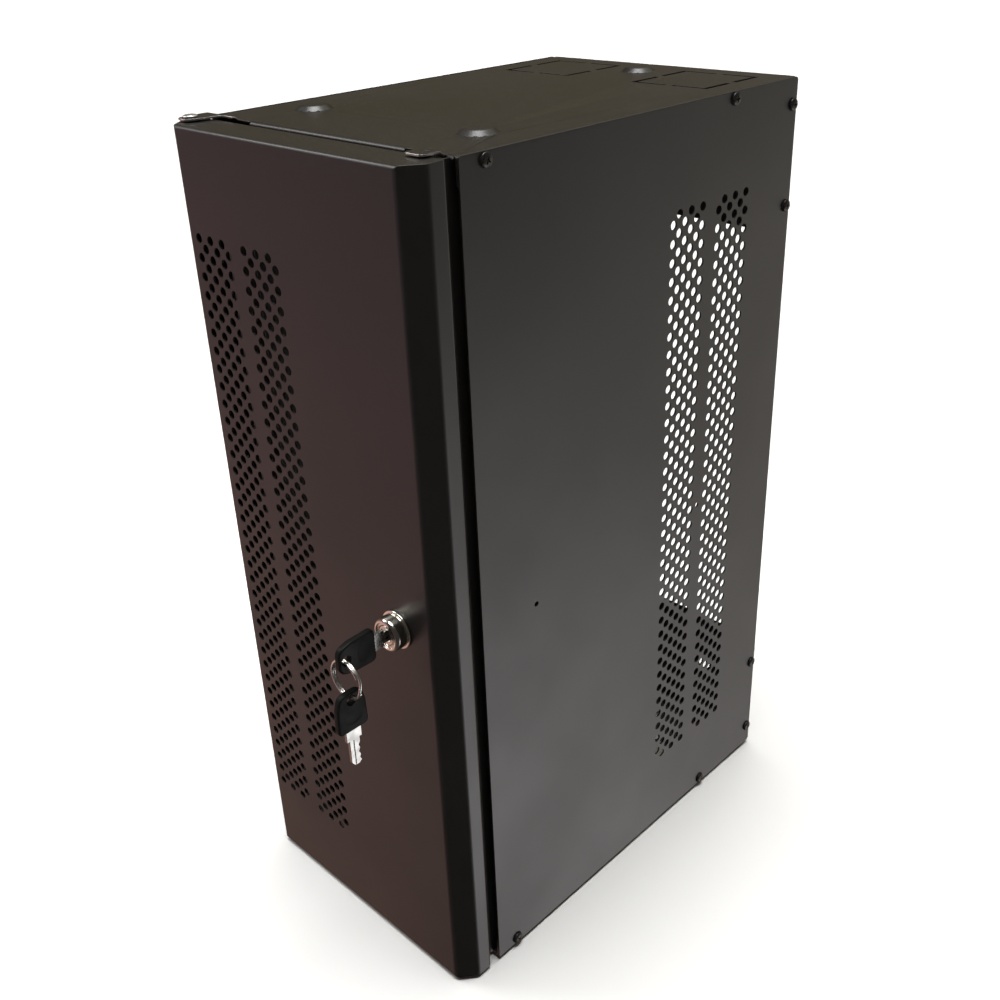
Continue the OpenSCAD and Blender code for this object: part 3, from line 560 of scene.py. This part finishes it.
def cut_away(work, cutters):
    """The mesh of work with other closed shapes taken out of it."""
    mesh = bpy.data.meshes.new("blank")
    bmesh.ops.recalc_face_normals(work, faces=work.faces)
    work.to_mesh(mesh)
    work.free()
    blank = bpy.data.objects.new("blank", mesh)
    bpy.context.scene.collection.objects.link(blank)
    tools = []
    for cutter in cutters:
        tool_mesh = bpy.data.meshes.new("tool")
        bmesh.ops.recalc_face_normals(cutter, faces=cutter.faces)
        cutter.to_mesh(tool_mesh)
        cutter.free()
        tool = bpy.data.objects.new("tool", tool_mesh)
        bpy.context.scene.collection.objects.link(tool)
        cut = blank.modifiers.new("cut", "BOOLEAN")
        cut.operation = "DIFFERENCE"
        cut.solver = "EXACT"
        cut.object = tool
        tools.append(tool)
    bpy.context.view_layer.update()
    result = bmesh.new()
    result.from_object(blank, bpy.context.evaluated_depsgraph_get())
    for spent in [blank, *tools]:
        bpy.data.meshes.remove(spent.data)
    return result


def softened(work, width, segments=2, crisp=None, sharp=SHARP):
    """Rounds a bmesh's sharp edges, apart from those that crisp says to leave."""
    edges = [e for e in work.edges
             if len(e.link_faces) == 2 and e.calc_face_angle() > sharp and not (crisp and crisp(e))]
    bmesh.ops.bevel(work, geom=edges, offset=width, offset_type="OFFSET", segments=segments, profile=0.5,
                    affect="EDGES", clamp_overlap=False)
    return work


# ---------------------------------------------------------------- sheet parts and turned parts from CAD

def vent_rim(edge):
    """Whether an edge is part of a vent hole's rim, which is left crisp."""
    return edge.calc_length() < VENT_STEP_MAX and all(abs(v.co.z) < VENT_REACH for v in edge.verts)


def worked(node, radius=PAINT_RADIUS, segments=2):
    """A CAD node's own shape as a bmesh, with its edges rounded."""
    work = bmesh.new()
    work.from_mesh(NODES[node].data)
    bmesh.ops.remove_doubles(work, verts=work.verts, dist=MERGE)
    return softened(work, radius, segments, crisp=vent_rim if node in VENTED else None)


def add_plain_parts():
    """Parts whose shape is right in CAD and that only need their edges rounded."""
    for node in PLAIN_PARTS:
        stand_in(shaded(worked(node), node + "_finished"), node)
    stand_in(shaded(worked("door_buffers", 0.6 * MM, 3), "door_buffers_finished"), "door_buffers")


def add_end_panels():
    """The top and bottom panels, with bare steel where their ears' cut edges are worn."""
    body_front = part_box("right_cover")[0].y

    def not_a_foot(edge):
        on_level = abs(edge.verts[0].co.z - edge.verts[1].co.z) < MERGE
        return not on_level or edge.calc_face_angle() > FOOT_FOLD_MAX or edge.verts[0].co.y < body_front

    for node in ("top_panel", "bottom_panel"):
        panel = softened(worked(node), FOOT_RADIUS, 4, crisp=not_a_foot, sharp=FOOT_FOLD_MIN)
        mesh = shaded(panel, node + "_finished")
        mesh.materials.append(FINISHES["powder_coat"])
        mesh.materials.append(FINISHES["bare_edge"])
        ear_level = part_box("right_post")[1].z
        for face in mesh.polygons:
            on_ear = face.center.y < body_front - 0.2 * MM and abs(face.center.z) > ear_level
            if on_ear and abs(face.normal.z) < 0.4:
                face.material_index = 1
        stand_in(mesh, node)


# ---------------------------------------------------------------- lock

def facing_front(at):
    """Local Z points out of the door and local Y up."""
    return Matrix.Translation(at) @ Matrix.Rotation(math.pi / 2, 4, "X")


def lock_place():
    """The lock's axis, from the door's face outwards."""
    return facing_front((LOCK_AXIS.x, DOOR_FACE_Y, LOCK_AXIS.z))


def add_lock_body():
    """The housing: a thin flange, a groove, a bevelled head and a stepped rim round the plug."""
    work = bmesh.new()
    points = [(r * MM, LOCK_BACK if height is None else height * MM) for r, height in HOUSING_PROFILE_MM]
    tube_ends_joined(work, lathe(work, points, lock_place(), steps=96))
    stand_in(shaded(work, "lock_housing"), "lock_body")


def block(low, high, place=Matrix()):
    """A closed box between two corners, to cut with."""
    work = bmesh.new()
    bmesh.ops.create_cube(work, size=1)
    size = Vector(high) - Vector(low)
    middle = (Vector(high) + Vector(low)) / 2
    work.transform(place @ Matrix.Translation(middle) @ Matrix.Diagonal((*size, 1)))
    return work


def add_lock_plug():
    """The plug, recessed in its housing, with a turned groove and the keyway."""
    tail = DOOR_FACE_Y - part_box("lock_plug")[1].y
    work = bmesh.new()
    points = [(r * MM, height * MM) for r, height in PLUG_PROFILE_MM]
    points += [(PLUG_R, LOCK_BACK), (PLUG_STEM_R, LOCK_BACK), (PLUG_STEM_R, tail), (0, tail)]
    lathe(work, points, lock_place())
    half_w, half_h = KEYWAY[0] / 2, KEYWAY[1] / 2
    keyway = block((-half_w, -half_h, -14 * MM), (half_w, half_h, 12 * MM), lock_place())
    stand_in(shaded(softened(cut_away(work, [keyway]), 0.12 * MM), "lock_core"), "lock_plug")


# ---------------------------------------------------------------- keys and their ring

def key_outline_points(pairs):
    """Millimetre pairs as points in metres."""
    return [Vector((x * MM, y * MM)) for x, y in pairs]


def bow_mesh(place):
    """The moulded bow: pillowed edges, a shallow oval dish on each face and a countersunk ring hole."""
    points = key_outline_points([(x, -y) for x, y in BOW_SIDE_MM] + BOW_SIDE_MM[::-1])[::-1]
    outline = rounded(points, [r * MM for r in BOW_CORNER_MM + BOW_CORNER_MM[::-1]])
    work = soft_slab(outline, BOW_T, BOW_EDGE_R)
    hole_x = -BOW_L + BOW_HOLE_EDGE
    half = BOW_T / 2
    flare = [(0, -half - MM), (BOW_HOLE_R + 1.5 * MM, -half - MM), (BOW_HOLE_R + 0.5 * MM, -half),
             (BOW_HOLE_R + 0.1 * MM, -half + 0.5 * MM), (BOW_HOLE_R, -half + MM)]
    flare += [(r, -height) for r, height in reversed(flare)]
    hole = bmesh.new()
    lathe(hole, flare, Matrix.Translation((hole_x, 0, 0)), steps=32)
    tools = [hole]
    for face in (-1, 1):
        dish = bmesh.new()
        profile = [(0, -DISH_DEPTH), (5.2 * MM, -DISH_DEPTH), (5.6 * MM, 0)]
        profile += [(6.4 * MM, 1.2 * MM), (0, 1.2 * MM)]
        oval = Matrix.Diagonal((0.85, 1.25, face, 1))
        lathe(dish, profile, Matrix.Translation((DISH_AT, 0, face * half)) @ oval, steps=48)
        tools.append(dish)
    slot_half = SHOULDER_W / 2
    tools.append(block((-SHOULDER_IN, -slot_half, -BLADE_T / 2), (2 * MM, slot_half, BLADE_T / 2)))
    work = cut_away(work, tools)
    work.transform(place)
    return work


def blade_mesh(length, place):
    """The blade: a shoulder, cuts along one edge, a blunt point and a milled groove in each face."""
    end = length / MM
    half = BLADE_W / MM / 2
    shoulder = SHOULDER_W / MM / 2
    out = SHOULDER_OUT / MM
    inside = -SHOULDER_IN / MM
    pairs = [(inside, -shoulder), (out, -shoulder), (out, -half), (end - 3, -half), (end, -1.5), (end, 1.5)]
    pairs += [(end - back, half - depth) for back, depth in BLADE_CUTS_MM]
    pairs += [(out, half), (out, shoulder), (inside, shoulder)]
    work = soft_slab(key_outline_points(pairs), BLADE_T, 0.18 * MM, steps=2)
    groove_start = SHOULDER_OUT + 0.4 * MM
    tools = []
    for face in (-1, 1):
        low, high = sorted((face * (BLADE_T / 2 - GROOVE_DEPTH), face * BLADE_T))
        across = -1.0 * MM if face > 0 else 0.2 * MM
        edge = GROOVE_W / 2
        tools.append(block((groove_start, across - edge, low), (length + MM, across + edge, high)))
    work = cut_away(work, tools)
    work.transform(place)
    return work


def key_in_lock():
    """Local X, along the blade, points into the door; local Y points up."""
    neck_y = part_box("key_bow")[1].y
    turn = Matrix(((0, 0, 1, 0), (1, 0, 0, 0), (0, 1, 0, 0), (0, 0, 0, 1)))
    return Matrix.Translation((LOCK_AXIS.x, neck_y, LOCK_AXIS.z)) @ turn


def key_on_ring():
    """Local X, along the blade, points down."""
    low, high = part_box("spare_key_bow")
    turn = Matrix(((0, 0, 1, 0), (0, 1, 0, 0), (-1, 0, 0, 0), (0, 0, 0, 1)))
    return Matrix.Translation(((low.x + high.x) / 2, (low.y + high.y) / 2, low.z)) @ turn


def add_keys():
    lengths = {"key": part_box("key_blade")[1].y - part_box("key_bow")[1].y,
               "spare_key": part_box("spare_key_bow")[0].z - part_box("spare_key_blade")[0].z}
    for key, place in (("key", key_in_lock()), ("spare_key", key_on_ring())):
        stand_in(shaded(bow_mesh(place), key + "_bow_moulded"), key + "_bow")
        stand_in(shaded(blade_mesh(lengths[key], place), key + "_blade_cut"), key + "_blade")


def add_split_ring():
    """Two turns of round wire that lie side by side and cross over once."""
    gap = math.radians(28)
    count = 144                         # steps along both turns
    sides = 14
    centre = JOINT_AT["spare_key_slide"]
    low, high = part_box("key_ring")
    ring_r = (high.x - low.x) / 2 - RING_WIRE_R
    start = gap
    end = 4 * math.pi - gap
    work = bmesh.new()
    rings = []
    for i in range(count + 1):
        angle = start + (end - start) * i / count
        crossing = min(1, max(0, (angle - (2 * math.pi - gap)) / (2 * gap)))
        shift = (2 * crossing * crossing * (3 - 2 * crossing) - 1) * RING_WIRE_R * 0.95
        outward = Vector((math.cos(angle), 0, math.sin(angle)))
        middle = centre + outward * ring_r + Vector((0, shift, 0))
        ring = []
        for j in range(sides):
            around = 2 * math.pi * j / sides
            offset = outward * math.cos(around) + Vector((0, math.sin(around), 0))
            ring.append(work.verts.new(middle + offset * RING_WIRE_R))
        rings.append(ring)
    for low, high in zip(rings, rings[1:]):
        for j in range(sides):
            work.faces.new((low[j - 1], low[j], high[j], high[j - 1]))
    work.faces.new(rings[0])
    work.faces.new(reversed(rings[-1]))
    mesh = shaded(work, "split_ring")
    mesh.materials.append(FINISHES["ring_steel"])
    stand_in(mesh, "key_ring")


# ---------------------------------------------------------------- screws and pins

def dome(radius, height, steps=8):
    """Profile of a low dome from its rim to its middle."""
    points = []
    for i in range(steps + 1):
        angle = math.pi / 2 * i / steps
        points.append((radius * math.cos(angle), height * math.sin(angle)))
    points[-1] = (0, height)
    return points


def screw_mesh():
    """A pan-head screw with a cross recess, its head along +Z from the origin."""
    work = bmesh.new()
    rim = 0.9 * MM
    head = [(r, rim + height) for r, height in dome(SCREW_HEAD_R, SCREW_HEAD_T - rim)]
    shank = [(0, -SCREW_L), (SCREW_R - 0.4 * MM, -SCREW_L), (SCREW_R, -SCREW_L + 0.5 * MM), (SCREW_R, 0)]
    edge = 0.25 * MM
    under = [(SCREW_HEAD_R - edge, 0), (SCREW_HEAD_R, edge)]
    lathe(work, shank + under + head, Matrix(), steps=32)
    arms = [block((-x, -y, RECESS_FLOOR), (x, y, 2 * SCREW_HEAD_T))
            for x, y in ((RECESS_REACH, RECESS_HALF_W), (RECESS_HALF_W, RECESS_REACH))]
    return softened(cut_away(work, arms), 0.06 * MM, 1)


def screw_places(node):
    """The middles of the separate screws in a CAD node, found as its mesh's islands."""
    work = bmesh.new()
    work.from_mesh(NODES[node].data)
    bmesh.ops.remove_doubles(work, verts=work.verts, dist=MERGE)
    unseen = set(work.verts)
    places = []
    while unseen:
        island = set()
        front = [unseen.pop()]
        while front:
            vertex = front.pop()
            island.add(vertex)
            for edge in vertex.link_edges:
                other = edge.other_vert(vertex)
                if other in unseen:
                    unseen.remove(other)
                    front.append(other)
        ys = [v.co.y for v in island]
        zs = [v.co.z for v in island]
        places.append(((min(ys) + max(ys)) / 2, (min(zs) + max(zs)) / 2))
    work.free()
    return sorted(places)


def add_cover_screws():
    """Eight screws on each side, each turned to its own angle."""
    for node, side in (("right_cover_screws", 1), ("left_cover_screws", -1)):
        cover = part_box(node.replace("_screws", ""))
        face_x = cover[1].x if side > 0 else cover[0].x
        work = bmesh.new()
        for i, (y, z) in enumerate(screw_places(node)):
            one = screw_mesh()
            turn = Matrix.Rotation(side * math.pi / 2, 4, "Y") @ Matrix.Rotation(0.7 + 1.9 * i, 4, "Z")
            one.transform(Matrix.Translation((face_x, y, z)) @ turn)
            mesh = bpy.data.meshes.new("screw")
            one.to_mesh(mesh)
            one.free()
            work.from_mesh(mesh)
            bpy.data.meshes.remove(mesh)
        stand_in(shaded(work, node + "_finished"), node)


def add_upper_hinge_pin():
    """A pin with a low domed head that lies on the ear."""
    low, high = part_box("upper_hinge_pin")
    head_under = high.z - 1.9 * MM
    place = Matrix.Translation(((low.x + high.x) / 2, (low.y + high.y) / 2, head_under))
    shank_r = 2.5 * MM
    length = head_under - low.z
    rim = 0.7 * MM
    head = [(r, rim + height) for r, height in dome(4.5 * MM, 1.2 * MM)]
    work = bmesh.new()
    lathe(work, [(0, -length), (shank_r - 0.5 * MM, -length), (shank_r, -length + 0.5 * MM), (shank_r, 0),
                 (4.3 * MM, 0), (4.5 * MM, 0.2 * MM), *head], place, steps=48)
    stand_in(shaded(work, "upper_hinge_pin_finished"), "upper_hinge_pin")


# ---------------------------------------------------------------- the scene

bpy.context.scene.view_settings.view_transform = "Standard"
add_camera()
add_world()
add_floor()
add_softbox("window", (-0.634, -0.444, 0.633), 1.7, 0.55, 10, (1.0, 0.98, 0.95))
add_ceiling()

add_plain_parts()
add_end_panels()
add_lock_body()
add_lock_plug()
add_keys()
add_split_ring()
add_cover_screws()
add_upper_hinge_pin()
